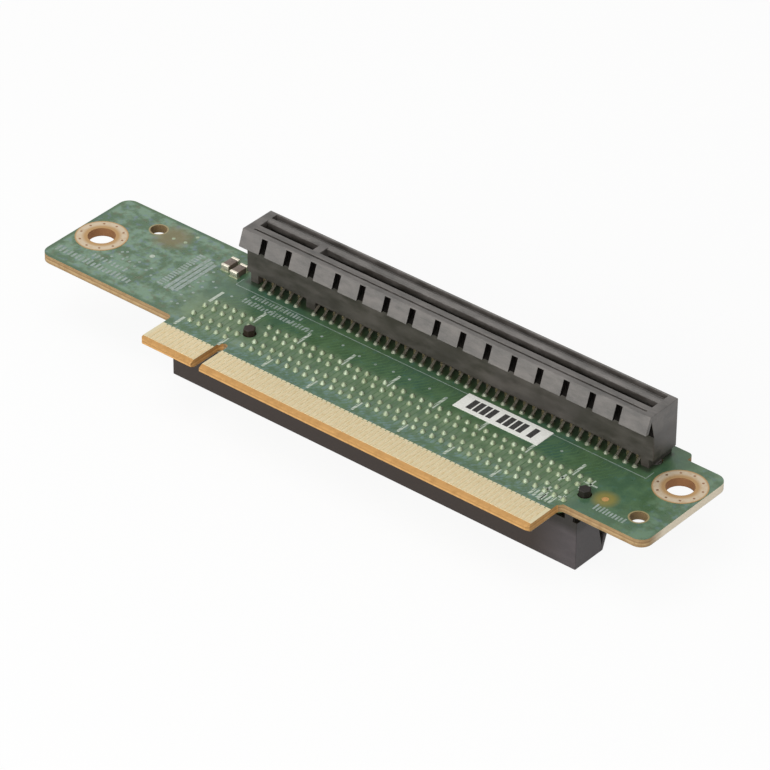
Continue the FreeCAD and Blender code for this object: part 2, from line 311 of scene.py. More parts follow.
def paintedLaminate():
    # FR4 laminate with a printed solder mask: a half-glossy green skin that varies with the copper
    # below it, pale bare laminate round the fingers, and a tan sawn edge with its glass layers
    look = {key: srgb(code) for key, code in laminateLook.items()}
    zone, grain = laminateZones, laminateZones["grain"]
    material, tree, shader, place = newMaterial("solderMaskedLaminate", IOR=1.5)
    x, y, z = addNode(tree, "SeparateXYZ", {0: place}).outputs
    height = addNode(tree, "Math", {0: z}, operation="ABSOLUTE")
    flat = addNode(tree, "VectorMath", {0: place, 1: (1.0, 1.0, 0.0)}, operation="MULTIPLY")
    broad = addNode(tree, "TexNoise", {"Vector": place, "Scale": perMetre(grain["broad"]), "Detail": 3.0})
    patchy = addNode(tree, "TexNoise", {
        "Vector": place, "Scale": perMetre(grain["patchy"]), "Detail": 5.0, "Roughness": 0.6,
    })
    blotchy = addNode(tree, "TexNoise", {
        "Vector": flat, "Scale": perMetre(grain["blotchy"]), "Detail": 3.0, "Roughness": 0.6,
    })

    def band(value, start, full, still, end):
        # 1 from full to still, fading to 0 at start and end
        rise = addNode(tree, "MapRange", {"Value": value, "From Min": start * mm, "From Max": full * mm})
        fall = addNode(tree, "MapRange", {"Value": value, "From Min": end * mm, "From Max": still * mm})
        return addNode(tree, "Math", {0: rise, 1: fall}, operation="MULTIPLY")

    def awayFrom(centre):
        # Distance from an upright line through a point of the board
        point = (centre[0] * mm, centre[1] * mm, 0.0)
        return addNode(tree, "VectorMath", {0: flat, 1: point}, operation="DISTANCE").outputs["Value"]

    # The mask is lighter and greyer over copper, bluish where it is thick
    green = patched(
        tree, look["maskGreen"],
        (broad, 0.42, 0.62, 1.0, look["maskBlue"]),
        (patchy, 0.45, 0.7, 0.6, look["maskLight"]),
        (blotchy, 0.56, 0.7, 0.3, look["teal"]),
    )

    # A copper pour fills the left ear, short of the board's edges, and half shows on the right one
    pour = patched(
        tree, look["pourGreen"],
        (patchy, 0.43, 0.57, 1.0, look["pourLight"]),
        (blotchy, 0.53, 0.68, 0.55, look["pourBlue"]),
        (blotchy, 0.46, 0.34, 0.5, look["pourBrown"]),
    )
    leftPour = addNode(tree, "Math", {
        0: band(x, *zone["pourAlong"]), 1: band(y, *zone["pourAcross"]),
    }, operation="MULTIPLY")
    start, full = zone["rightPour"]
    rightPour = addNode(tree, "MapRange", {
        "Value": x, "From Min": start * mm, "From Max": full * mm, "To Max": 0.55,
    })
    poured = addNode(tree, "Math", {0: leftPour, 1: rightPour}, operation="MAXIMUM")
    green = addNode(tree, "MixRGB", {"Fac": poured, "Color1": green, "Color2": pour})

    # It is thin and pale between the solder joints, and bluish beside the fingers
    unpoured = addNode(tree, "Math", {0: 1.0, 1: poured}, operation="SUBTRACT")
    thin = addNode(tree, "MapRange", {
        "Value": patchy, "From Min": 0.3, "From Max": 0.6, "To Min": 0.1, "To Max": 0.4,
    })
    thin = addNode(tree, "Math", {0: thin, 1: unpoured}, operation="MULTIPLY")
    cool = addNode(tree, "MapRange", {
        "Value": blotchy, "From Min": 0.42, "From Max": 0.62, "To Max": 0.55,
    })
    for share, name in ((thin, "joints"), (cool, "fingers")):
        for within in (band(x, *zone[name + "Along"]), band(y, *zone[name + "Across"])):
            share = addNode(tree, "Math", {0: share, 1: within}, operation="MULTIPLY")
        green = addNode(tree, "MixRGB", {"Fac": share, "Color1": green, "Color2": look[name]})

    # Flux and shade darken it below each housing, on the housing's own face
    outward, inward = zone["slotEnds"]
    reach, core = zone["slotSides"]
    for slotName, comparison in (("upper", "GREATER_THAN"), ("lower", "LESS_THAN")):
        left, right = [corner.x / mm for corner in slotBox[slotName]]
        middle = slot["setback"][slotName]
        share = addNode(tree, "Math", {0: z, 1: 0.0}, operation=comparison)
        for within in (
            0.8,
            band(x, left - outward, left + inward, right - inward, right + outward),
            band(y, middle - reach, middle - core, middle + core, middle + reach),
        ):
            share = addNode(tree, "Math", {0: share, 1: within}, operation="MULTIPLY")
        green = addNode(tree, "MixRGB", {"Fac": share, "Color1": green, "Color2": look["underSlot"]})

    # Yellowish thin mask beside the left locating hole, and round the target dot
    for centre, reach, strength, tint in zone["thinSpots"]:
        core = reach * zone["thinCore"]
        green = patched(tree, green, (awayFrom(centre), reach * mm, core * mm, strength, look[tint]))

    # Sawn edge, darker where the resin was scorched. Its glass layers are drawn coarser than they
    # are, since they are too fine to show
    layers = addNode(tree, "TexWave", {
        "Vector": place, "Scale": perMetre(zone["layerSpan"]),
        "Distortion": 1.5, "Detail": 2.0, "Detail Scale": 2.0,
    }, wave_type="BANDS", bands_direction="Z").outputs["Fac"]
    scorch = addNode(tree, "TexNoise", {
        "Vector": place, "Scale": perMetre(grain["scorch"]), "Detail": 4.0,
    })
    offLine = addNode(tree, "Math", {0: z, 1: zone["scorchedLine"] * mm}, operation="SUBTRACT")
    offLine = addNode(tree, "Math", {0: offLine}, operation="ABSOLUTE")
    onEar = addNode(tree, "Math", {0: y, 1: zone["earEdgeFrom"] * mm}, operation="GREATER_THAN")
    edge = addNode(tree, "MixRGB", {"Fac": onEar, "Color1": look["tabEdge"], "Color2": look["earEdge"]})
    dark = addNode(tree, "MixRGB", {
        "Fac": onEar, "Color1": look["tabEdgeDark"], "Color2": look["earEdgeDark"],
    })
    start, full = zone["scorchedWidth"]
    edge = patched(
        tree, edge,
        (layers, 0.3, 0.9, 0.5, dark),
        (scorch, 0.45, 0.7, 0.5, dark),
        (offLine, start * mm, full * mm, 0.7, dark),
    )
    start, full = zone["freshCut"]
    fresh = addNode(tree, "MapRange", {
        "Value": x, "From Min": boardHigh.x - start * mm, "From Max": boardHigh.x - full * mm,
        "To Max": 0.9,
    })
    start, full = zone["freshFrom"]
    pastCorner = addNode(tree, "MapRange", {"Value": y, "From Min": start * mm, "From Max": full * mm})
    fresh = addNode(tree, "Math", {0: fresh, 1: pastCorner}, operation="MULTIPLY")
    edge = addNode(tree, "MixRGB", {"Fac": fresh, "Color1": edge, "Color2": look["sideEdge"]})

    onTab = addNode(tree, "Math", {0: y, 1: board["maskEdge"] * mm}, operation="LESS_THAN")
    facing = addNode(tree, "Math", {0: height, 1: (faceZ - zone["tolerance"]) * mm}, operation="GREATER_THAN")
    onLand = addNode(tree, "Math", {
        0: height, 1: (faceZ + board["landHeight"] / 4) * mm,
    }, operation="GREATER_THAN")
    colour = addNode(tree, "MixRGB", {"Fac": onTab, "Color1": green, "Color2": look["bareLaminate"]})
    colour = addNode(tree, "MixRGB", {"Fac": facing, "Color1": edge, "Color2": colour})

    # Bare drilled walls in the locating holes, dull tinned copper in the screw holes and on their lands
    metal = 0.0
    for holes, radius, rimWidth, wall, plated in (
        ("locatingHoles", board["locatingRadius"], board["wornRim"], "smallHoleWall", False),
        ("screwHoles", board["screwRadius"], board["landWidth"], "screwHoleWall", True),
    ):
        for centre in board[holes]:
            away = awayFrom(centre)
            inWall = addNode(tree, "Math", {
                0: away, 1: (radius + zone["tolerance"]) * mm,
            }, operation="LESS_THAN")
            inRim = addNode(tree, "Math", {0: away, 1: (radius + rimWidth) * mm}, operation="LESS_THAN")
            rim = look["smallHoleRim"]
            if plated:
                inRim = addNode(tree, "Math", {0: inRim, 1: onLand}, operation="MULTIPLY")
                inside, outside = zone["landInside"], zone["landOutside"]
                rim = patched(
                    tree, look["land"],
                    (away, (radius + inside[0]) * mm, (radius + inside[1]) * mm, 1.0, look["landRim"]),
                    (away, (radius + rimWidth - outside[0]) * mm, (radius + rimWidth - outside[1]) * mm,
                     1.0, look["landRim"]),
                    (blotchy, 0.5, 0.75, 0.5, look["landRim"]),
                )
                plate = addNode(tree, "Math", {0: inRim, 1: inWall}, operation="MAXIMUM")
                metal = addNode(tree, "Math", {0: metal, 1: plate}, operation="MAXIMUM")
            colour = addNode(tree, "MixRGB", {"Fac": inRim, "Color1": colour, "Color2": rim})
            colour = addNode(tree, "MixRGB", {"Fac": inWall, "Color1": colour, "Color2": look[wall]})

    # The glass weave below shows as a very faint ripple, 0.5 mm from strand to strand
    weave = addNode(tree, "TexNoise", {
        "Vector": place, "Scale": perMetre(grain["weave"]), "Detail": 1.0,
    })
    gloss = addNode(tree, "MapRange", {
        "Value": patchy, "From Min": 0.3, "From Max": 0.7, "To Min": 0.26, "To Max": 0.4,
    })
    rough = addNode(tree, "Mix", {0: facing, 2: 0.75, 3: gloss}, data_type="FLOAT")
    rough = addNode(tree, "Mix", {0: metal, 2: rough, 3: 0.7}, data_type="FLOAT")
    feed(tree, shader, {
        "Base Color": colour, "Metallic": metal, "Roughness": rough,
        "Normal": addNode(tree, "Bump", {"Strength": 0.12, "Distance": 0.02 * mm, "Height": weave}),
    })
    return material


def goldPlating():
    # Hard gold over nickel on fingers and springs: pale yellow metal with fine wipe marks along Y
    material, tree, shader, place = newMaterial("hardGoldPlate", Metallic=1.0)
    stretched = addNode(tree, "Mapping", {"Vector": place, "Scale": (1.0, 0.12, 1.0)})
    wipes = addNode(tree, "TexNoise", {"Vector": stretched, "Scale": perMetre(0.12), "Detail": 3.0})
    feed(tree, shader, {
        "Base Color": patched(tree, srgb("e0d1af"), (wipes, 0.35, 0.7, 1.0, srgb("ceb788"))),
        "Roughness": addNode(tree, "MapRange", {
            "Value": wipes, "From Min": 0.3, "From Max": 0.7, "To Min": 0.24, "To Max": 0.4,
        }),
        "Normal": addNode(tree, "Bump", {"Strength": 0.2, "Distance": 0.005 * mm, "Height": wipes}),
    })
    return material


def mottledFinish(name, look, **fixed):
    # Two close colours in soft patches of one grain size, with the gloss and a fine relief to match
    material, tree, shader, place = newMaterial(name, **fixed)
    grain = addNode(tree, "TexNoise", {
        "Vector": place, "Scale": perMetre(look["grain"]), "Detail": 4.0, "Roughness": 0.6,
    })
    first, second = [srgb(code) for code in look["colours"]]
    smooth, rough = look["rough"]
    feed(tree, shader, {
        "Base Color": patched(tree, first, (grain, 0.35, 0.7, 1.0, second)),
        "Roughness": addNode(tree, "MapRange", {
            "Value": grain, "From Min": 0.3, "From Max": 0.7, "To Min": smooth, "To Max": rough,
        }),
        "Normal": addNode(tree, "Bump", {
            "Strength": 0.2, "Distance": look["relief"] * mm, "Height": grain,
        }),
    })
    return material


moulding = {
    "flowGrain": 1.6,
    "cloudGrain": 3.2,
    "speckGrain": 0.16,
    "paintedShadeFade": 1.6,  # the painted shade fades over this height
    "tabShade": (0.5, -6.0),  # past the tab's end: where the painted shade of the tab starts and where it is full
}


def mouldedPolyester(name, look):
    # Glass-filled polyester, injection moulded: half matt, mottled along the flow, with a fine grain.
    # It is darker and browner towards the board: painted shade of the undercut below the panels and of the
    # gap at the board
    material, tree, shader, place = newMaterial(name, IOR=1.58, Specular_IOR_Level=look["sheen"])
    along = addNode(tree, "SeparateXYZ", {0: place}).outputs
    height = addNode(tree, "Math", {0: along["Z"]}, operation="ABSOLUTE")
    flowing = addNode(tree, "Mapping", {"Vector": place, "Scale": (0.35, 1.0, 1.0)})
    flow = addNode(tree, "TexNoise", {
        "Vector": flowing, "Scale": perMetre(moulding["flowGrain"]), "Detail": 5.0, "Roughness": 0.6,
    })
    cloudy = addNode(tree, "TexNoise", {
        "Vector": flowing, "Scale": perMetre(moulding["cloudGrain"]), "Detail": 4.0, "Roughness": 0.55,
    })
    speckle = addNode(tree, "TexNoise", {
        "Vector": place, "Scale": perMetre(moulding["speckGrain"]), "Detail": 2.0,
    })
    dark, pale = [srgb(code) for code in look["colours"]]
    paintedShadeDark, paintedShadePale = [srgb(code) for code in look["paintedShade"]]
    # Painted shade towards the board, in two mottled tones
    paintedShade = patched(tree, paintedShadeDark, (cloudy, 0.45, 0.65, 1.0, paintedShadePale))
    paintedShadeTop = (faceZ + look["paintedShadeTop"]) * mm
    paintedShadeFull = paintedShadeTop - moulding["paintedShadeFade"] * mm
    colour = patched(
        tree, dark,
        (flow, 0.35, 0.68, 1.0, pale),
        (speckle, 0.5, 0.8, 0.35, pale),
        (height, paintedShadeTop, paintedShadeFull, look["paintedShadeShare"], paintedShade),
    )
    if "paintedTabShade" in look:
        # Painted shadow of the tab: it is browner along the tab than at the end that stands clear of it
        start, full = [(board["tabHalf"] + past) * mm for past in moulding["tabShade"]]
        colour = patched(tree, colour, (along["X"], start, full, 0.9, srgb(look["paintedTabShade"])))
    smooth, rough = look["rough"]
    feed(tree, shader, {
        "Base Color": colour,
        "Roughness": addNode(tree, "MapRange", {
            "Value": flow, "From Min": 0.3, "From Max": 0.7, "To Min": smooth, "To Max": rough,
        }),
        "Normal": addNode(tree, "Bump", {"Strength": 0.35, "Distance": 0.02 * mm, "Height": speckle}),
    })
    return material


# Matt tin on the stamped tails: dull grey-brown metal, darkened as painted shade of the housing above them
tin = mottledFinish("mattTinPlate", {
    "colours": ("57534a", "3f3b33"), "grain": 0.3, "rough": (0.5, 0.65), "relief": 0.01,
}, Metallic=1.0)
# Bright tin wrapped round the ends of a chip capacitor: near white metal
brightTin = mottledFinish("fusedTinCap", {
    "colours": ("e2dccd", "cfc7b4"), "grain": 0.4, "rough": (0.35, 0.5), "relief": 0.01,
}, Metallic=1.0)
# Solder that wetted and froze: frosted grey metal, greenish with the flux and mask round it
solder = mottledFinish("flowedSolder", {
    "colours": ("a2ad98", "8f9878"), "grain": 0.9, "rough": (0.55, 0.7), "relief": 0.02,
}, Metallic=1.0)
# The same solder where it crept up a tail: greyer and duller
darkSolder = mottledFinish("fluxedSolder", {
    "colours": ("969a8a", "797c6b"), "grain": 0.6, "rough": (0.6, 0.75), "relief": 0.02,
}, Metallic=1.0)
# Barium titanate, pressed and fired: brown-grey, dense and slightly waxy
ceramic = mottledFinish("firedTitanate", {
    "colours": ("6f5e51", "564a41"), "grain": 0.3, "rough": (0.35, 0.5), "relief": 0.005,
}, IOR=1.6)
# Coated paper on the label: soft near white, faintly fibrous
paper = mottledFinish("coatedPaper", {
    "colours": ("f2f2ec", "e3e3db"), "grain": 0.4, "rough": (0.55, 0.7), "relief": 0.01,
}, IOR=1.45)
# Screen-printed epoxy ink: flat, with thin spots where the mesh left less of it
whiteInk = mottledFinish("whiteScreenInk", {
    "colours": ("c3cabf", "97a894"), "grain": 0.3, "rough": (0.4, 0.55), "relief": 0.005,
}, IOR=1.5)
# The same ink, old and thin, so that the green of the mask comes through
fadedInk = mottledFinish("thinScreenInk", {
    "colours": ("9aa6a2", "748674"), "grain": 0.5, "rough": (0.35, 0.5), "relief": 0.005,
}, IOR=1.5)
# Thermal print on the label: soft black, a little uneven
labelInk = mottledFinish("blackThermalPrint", {
    "colours": ("2b2b29", "4a4947"), "grain": 0.3, "rough": (0.45, 0.6), "relief": 0.003,
}, IOR=1.45)
# Copper track under the solder mask: the same skin, slightly lighter and yellower
copperUnderMask = mottledFinish("solderMaskOverCopper", {
    "colours": ("4b6945", "56754d"), "grain": 3.0, "rough": (0.26, 0.38), "relief": 0.005,
}, IOR=1.5)
# Small plated holes left open in the lands: tarnished copper, brown-red
tarnishedCopper = mottledFinish("tarnishedCopper", {
    "colours": ("a07c60", "84634a"), "grain": 0.2, "rough": (0.4, 0.6), "relief": 0.01,
}, Metallic=1.0)
# Thin gold over bare copper on the target dot: deep orange-yellow metal
targetGold = mottledFinish("immersionGold", {
    "colours": ("e2b478", "c99a62"), "grain": 0.25, "rough": (0.4, 0.55), "relief": 0.005,
}, Metallic=1.0)
# Upper slot: warm charcoal plastic with a satin sheen, and painted shade that makes it nearly black near the
# board
charcoal = mouldedPolyester("charcoalMoulding", {
    "colours": ("38342f", "625d59"), "rough": (0.36, 0.52), "sheen": 0.62,
    "paintedShade": ("28221c", "403a35"), "paintedShadeTop": 8.3, "paintedShadeShare": 0.8,
})
# Lower slot: duller black plastic, with painted shade that makes it dark brown near the board and along the
# tab
black = mouldedPolyester("blackMoulding", {
    "colours": ("3d3839", "4b4546"), "rough": (0.38, 0.52), "sheen": 0.25,
    "paintedShade": ("1a1710", "25211a"), "paintedShadeTop": 4.4, "paintedShadeShare": 0.9, "paintedTabShade": "281d15",
})
# The same moulding inside its windows and in the undercut behind the panels: matt and nearly black, as
# painted shade
windowShade = mouldedPolyester("paintedShadeMoulding", {
    "colours": ("171514", "1f1c1b"), "rough": (0.65, 0.8), "sheen": 0.03,
    "paintedShade": ("151312", "1b1918"), "paintedShadeTop": 8.3, "paintedShadeShare": 0.5,
})
laminate = paintedLaminate()
gold = goldPlating()

for nodeName, finish in (
    ("circuit_board", laminate),
    ("edge_fingers_top", gold),
    ("edge_fingers_bottom", gold),
    ("paper_label", paper),
):
    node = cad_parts[nodeName]
    node.data.materials.clear()
    node.data.materials.append(finish)
print("finished the board, its fingers and the label")


# Slot housings: the moulded edges are eased, with no change of form

housing = {
    "edgeRadius": 0.12,
    "edgeSegments": 2,
    "sharpAngle": 25.0,
    "squareOn": 0.9,  # a face looks along an axis where its normal has this share of it
    "undercutLean": 0.15,
    "wallBehind": 2.9,  # the windows end this far in front of the card's plane
    "lowestWindow": 6.8,  # height above the board
    "endWall": 0.5,  # faces nearer to an end than this are the ends' own
    "roofReach": 1.0,  # a window's roof reaches this far beyond the outer row
    "tolerance": 0.1,
}


def dressHousing(slotName, material):
    node = slotName + "_slot_housing"
    bm = mergedCopy(node)
    for face in bm.faces:
        # Faces in the windows and the undercut take the nearly black painted-shade moulding
        face.material_index = 1 if insideWindow(slotName, face) else 0
    piece = finishPiece(bm, slotName + "SlotBody", material, [node])
    piece.data.materials.append(windowShade)
    ease = piece.modifiers.new("moulded edges", "BEVEL")
    ease.width = housing["edgeRadius"] * mm
    ease.segments = housing["edgeSegments"]
    ease.limit_method = "ANGLE"
    ease.angle_limit = math.radians(housing["sharpAngle"])
    ease.use_clamp_overlap = False
    ease.harden_normals = True


def insideWindow(slotName, face):
    # True for the walls, the roof and the back of a window, and for the undercut behind the panels, which get
    # the painted shade material
    up = 1 if slotName == "upper" else -1
    low, high = slotBox[slotName]
    centre, normal = face.calc_center_median() / mm, face.normal
    looksAhead = -up * normal.y > housing["squareOn"]
    if looksAhead and up * normal.z < -housing["undercutLean"]:
        return True
    ahead = up * (slot["setback"][slotName] - centre.y)
    deepest = housing["wallBehind"] - housing["tolerance"]
    if up * centre.z - faceZ < housing["lowestWindow"] or ahead < deepest:
        return False
    awayFromEnds = low.x / mm + housing["endWall"] < centre.x < high.x / mm - housing["endWall"]
    side = abs(normal.x) > housing["squareOn"] and awayFromEnds
    back = looksAhead and ahead < housing["wallBehind"] + housing["tolerance"]
    roof = -up * normal.z > housing["squareOn"] and ahead < slot["outerRow"] + housing["roofReach"]
    return side or back or roof


dressHousing("upper", charcoal)
dressHousing("lower", black)


# Spring contacts: stamped strips that lean towards the card, with a rounded crest near the tip.
# Each point of a strip is its offset from the card's plane and its height above the board

contact = {
    "width": 0.5,
    "metal": 0.11,
    "tip": (1.25, 9.2),
    "crest": (0.9, 7.6),
    "shoulder": (1.45, 3.2),
    "knee": (1.6, 1.45),
    "heel": (0.12, 0.22),  # short of its row, and above the board
    "bendRadius": 0.25,
    "bendSegments": 2,
}


def contactTemplate(outer, side):
    # The strip's line in the (y, z) plane, drawn out to its width, bent and thickened
    row = slot["outerRow"] if outer else slot["innerRow"]
    line = [contact["tip"], contact["crest"], contact["shoulder"]]
    if outer:
        short, above = contact["heel"]
        line += [contact["knee"], (row - short, above)]
    line += [(row, 0.0)]
    bm = bmesh.new()
    verts = [bm.verts.new(Vector((-contact["width"] / 2, side * y, z)) * mm) for y, z in line]
    edges = [bm.edges.new(pair) for pair in zip(verts, verts[1:])]
    grown = bmesh.ops.extrude_edge_only(bm, edges=edges)["geom"]
    moved = [g for g in grown if isinstance(g, bmesh.types.BMVert)]
    bmesh.ops.translate(bm, vec=(contact["width"] * mm, 0, 0), verts=moved)
    folds = [e for e in bm.edges if len(e.link_faces) == 2]
    easeEdges(bm, folds, contact["bendRadius"], contact["bendSegments"])
    bmesh.ops.solidify(bm, geom=bm.faces[:], thickness=contact["metal"] * mm)
    bmesh.ops.recalc_face_normals(bm, faces=bm.faces[:])
    return meshFrom(bm, "contactTemplate")


def seatOn(slotName, x, up=True):
    # Places a template on a slot's own face of the board, or on the far one
    onTop = (slotName == "upper") == up
    y = slot["setback"][slotName]
    if onTop:
        return Matrix.Translation(Vector((x, y, faceZ)) * mm)
    return Matrix.Translation(Vector((x, y, -faceZ)) * mm) @ Matrix.Rotation(math.pi, 4, "X")


def makeContacts():
    for slotName in ("upper", "lower"):
        for rowName, finish, slotMaterial in (
            ("inner", gold, "gold_plating"),
            ("outer", tin, "tinned_copper"),
        ):
            outer = rowName == "outer"
            for sideName, side in (("plain", 1), ("flared", -1)):
                bm = bmesh.new()
                places = [seatOn(slotName, x) for x in contactXs(slotName, outer)]
                addCopies(bm, contactTemplate(outer, side), places)
                node = f"{slotName}_slot_{rowName}_contacts_{sideName}_side"
                name = slotName + rowName.capitalize() + "Contacts" + sideName.capitalize() + "Side"
                finishPiece(bm, name, finish, [node], 40)


makeContacts()


# Solder: low domes over the tails on the far side, and fillets where the outer tails enter the board.
# Each profile is a line of radii and heights

joint = {
    "dome": ((0.6, 0.0), (0.59, 0.08), (0.52, 0.22), (0.42, 0.38), (0.31, 0.54), (0.17, 0.68)),
    "fillet": ((0.55, 0.0), (0.5225, 0.06), (0.3575, 0.18), (0.275, 0.45)),
    "crown": 0.04,  # the closing point stands this far above the last ring
    "sides": 8,
    "tilt": 5,
    "swell": (0.9, 1.0),
    "heightShare": (0.75, 1.0),
}


def turnedTemplate(profile, name):
    # A small solid of revolution, closed at both ends
    bm = bmesh.new()
    line = [(radius, 0, z) for radius, z in profile] + [(0, 0, profile[-1][1] + joint["crown"])]
    verts = [bm.verts.new(Vector(p) * mm) for p in line]
    edges = [bm.edges.new(pair) for pair in zip(verts, verts[1:])]
    bmesh.ops.spin(
        bm, geom=verts + edges, cent=(0, 0, 0), axis=(0, 0, 1), angle=2 * math.pi,
        steps=joint["sides"], use_merge=True,
    )
    bmesh.ops.remove_doubles(bm, verts=bm.verts[:], dist=0.001 * mm)
    rim = [e for e in bm.edges if len(e.link_faces) == 1]
    bmesh.ops.contextual_create(bm, geom=rim)
    bmesh.ops.recalc_face_normals(bm, faces=bm.faces[:])
    return meshFrom(bm, name)


def makeJoints():
    template = turnedTemplate(joint["dome"], "jointTemplate")
    for slotName in ("upper", "lower"):
        for rowName, row in (("inner", slot["innerRow"]), ("outer", slot["outerRow"])):
            places = []
            for x in contactXs(slotName, rowName == "outer"):
                for side in (1, -1):
                    tilt = math.radians(chance.uniform(-joint["tilt"], joint["tilt"]))
                    turn = chance.uniform(0, math.pi)
                    swell = chance.uniform(*joint["swell"])
                    size = Matrix.Diagonal((swell, swell, chance.uniform(*joint["heightShare"]), 1.0))
                    offset = Matrix.Translation(Vector((0, side * row, 0)) * mm)
                    turned = Matrix.Rotation(tilt, 4, "X") @ Matrix.Rotation(turn, 4, "Z")
                    places.append(seatOn(slotName, x, up=False) @ offset @ turned @ size)
            bm = bmesh.new()
            addCopies(bm, template, places)
            node = f"{slotName}_slot_{rowName}_solder_joints"
            name = slotName + rowName.capitalize() + "SolderJoints"
            finishPiece(bm, name, solder, [node], 50)


def makeTailFeet():
    template = turnedTemplate(joint["fillet"], "tailFootTemplate")
    bm = bmesh.new()
    for slotName in ("upper", "lower"):
        for x in contactXs(slotName, True):
            for side in (1, -1):
                offset = Matrix.Translation(Vector((0, side * slot["outerRow"], 0)) * mm)
                addCopies(bm, template, [seatOn(slotName, x) @ offset])
    finishPiece(bm, "tailFeet", darkSolder, (), 50)


makeJoints()
makeTailFeet()


# Chip capacitors with wrapped terminals, each on its pair of soldered pads

capacitor = {
    "bodyEase": 0.08,
    "terminalEase": 0.12,
    "easeSegments": 3,
    "padMargin": 0.18,
    "padHeight": 0.06,
    "padEase": 0.05,
}


def makeCapacitors():
    for node, name, finish, slotMaterial, ease in (
        ("capacitor_bodies", "capacitorChips", ceramic, "capacitor_ceramic", capacitor["bodyEase"]),
        ("capacitor_terminals", "capacitorTerminals", brightTin, "tinned_copper", capacitor["terminalEase"]),
    ):
        bm = mergedCopy(node)
        if node == "capacitor_terminals":
            makeCapacitorPads(bm)
        easeEdges(bm, bm.edges[:], ease, capacitor["easeSegments"])
        finishPiece(bm, name, finish, [node], 40)


def makeCapacitorPads(terminals):
    # One pad below each separate terminal, with solder standing round its foot
    margin, pads = capacitor["padMargin"], bmesh.new()
    left = set(terminals.verts)
    while left:
        island, edge = set(), {next(iter(left))}
        while edge:
            island |= edge
            edge = {e.other_vert(v) for v in edge for e in v.link_edges} - island
        left -= island
        low = [min(v.co[i] for v in island) / mm for i in range(3)]
        high = [max(v.co[i] for v in island) / mm for i in range(3)]
        addBlock(
            pads, (low[0] - margin, low[1] - margin, faceZ - board["sunk"]),
            (high[0] + margin, high[1] + margin, faceZ + capacitor["padHeight"]), capacitor["padEase"],
        )
    finishPiece(pads, "capacitorPads", solder, (), 40)


makeCapacitors()


# Copper tracks under the mask, from the fingers past the lower slot's tails to the upper slot

track = {
    "width": 0.16,
    "rise": 0.018,
    "ys": (5.6, 6.6, 8.2, 17.6, 21.6, 22.4),  # its ends and where it bends
    "besideTail": 0.5,
}


def makeTracks():
    upperXs = sorted(contactXs("upper", False) + contactXs("upper", True))
    lowerXs = sorted(contactXs("lower", False) + contactXs("lower", True))
    lowerKeyX = slotBox["lower"][0].x / mm + slot["endToKey"]
    for name, side in (("topTracks", 1), ("bottomTracks", -1)):
        bm = bmesh.new()
        low, high = onFace(side, track["rise"])
        for upperX, lowerX in zip(upperXs, lowerXs):
            fingerX = board["keyX"] + lowerX - lowerKeyX
            between = lowerX + track["besideTail"]
            xs = (fingerX, fingerX, between, between, upperX, upperX)
            addRibbon(bm, list(zip(xs, track["ys"])), track["width"], low, high)
        finishPiece(bm, name, copperUnderMask)


makeTracks()


# Vias: small plated holes under the mask between the slots and on the left ear, and open ones that
# stitch each screw land to the ground layers

via = {
    "radius": 0.28,
    "rise": 0.02,
    "sides": 8,
    "row": {"count": 20, "first": (-42.5, 20.2), "step": 4.0, "stray": (0.6, 0.5)},
    # Loose groups: how many, from where to where along X and along Y
    "groups": ((34, (-50.0, -44.0), (11.5, 24.0)), (16, (-64.0, -52.5), (15.4, 19.0))),
    "apart": 0.9,
    "onLand": 10,
    "landRadius": 3.95,
    "landHole": 0.24,
    "landRise": 0.004,
}


def makeVias():
    bm = bmesh.new()
    for x, y in viaPlaces():
        for side in (1, -1):
            addDisc(bm, x, y, via["radius"], *onFace(side, via["rise"]), via["sides"])
    finishPiece(bm, "maskedVias", fadedInk)

    bm = bmesh.new()
    for centreX, centreY in board["screwHoles"]:
        for i in range(via["onLand"]):
            angle = 2 * math.pi * (i + 0.5) / via["onLand"]
            x = centreX + via["landRadius"] * math.cos(angle)
            y = centreY + via["landRadius"] * math.sin(angle)
            for side in (1, -1):
                heights = onFace(side, via["landRise"], face=faceZ + board["landHeight"])
                addDisc(bm, x, y, via["landHole"], *heights, via["sides"])
    finishPiece(bm, "landVias", tarnishedCopper)


def viaPlaces():
    # A row between the slots and the loose groups, without those that would touch another
    row, places = via["row"], []
    for i in range(row["count"]):
        strayX, strayY = [chance.uniform(-stray, stray) for stray in row["stray"]]
        places.append((row["first"][0] + row["step"] * i + strayX, row["first"][1] + strayY))
    for count, alongX, alongY in via["groups"]:
        places += [(chance.uniform(*alongX), chance.uniform(*alongY)) for i in range(count)]
    kept = []
    for place in places:
        if all(math.dist(place, other) > via["apart"] for other in kept):
            kept.append(place)
    return kept


makeVias()


# Gold dot that the placing machine aims at, and test points on the left ear

target = {
    "rise": 0.02,
    "dotRadius": 0.62,
    "dotSides": 20,
    "pointRadius": 0.35,
    "pointSides": 12,
    "points": ((-58.8, 27.0), (-56.4, 27.4), (-55.8, 30.0)),
}


def makeTargets():
    dots, points = bmesh.new(), bmesh.new()
    for side in (1, -1):
        heights = onFace(side, target["rise"])
        addDisc(dots, *board["target"], target["dotRadius"], *heights, target["dotSides"])
        for x, y in target["points"]:
            addDisc(points, x, y, target["pointRadius"], *heights, target["pointSides"])
    finishPiece(dots, "targetDots", targetGold)
    finishPiece(points, "testPoints", solder)


makeTargets()


# White printing on the board: outlines, ticks, dots and rows of plain bars, with no lettering

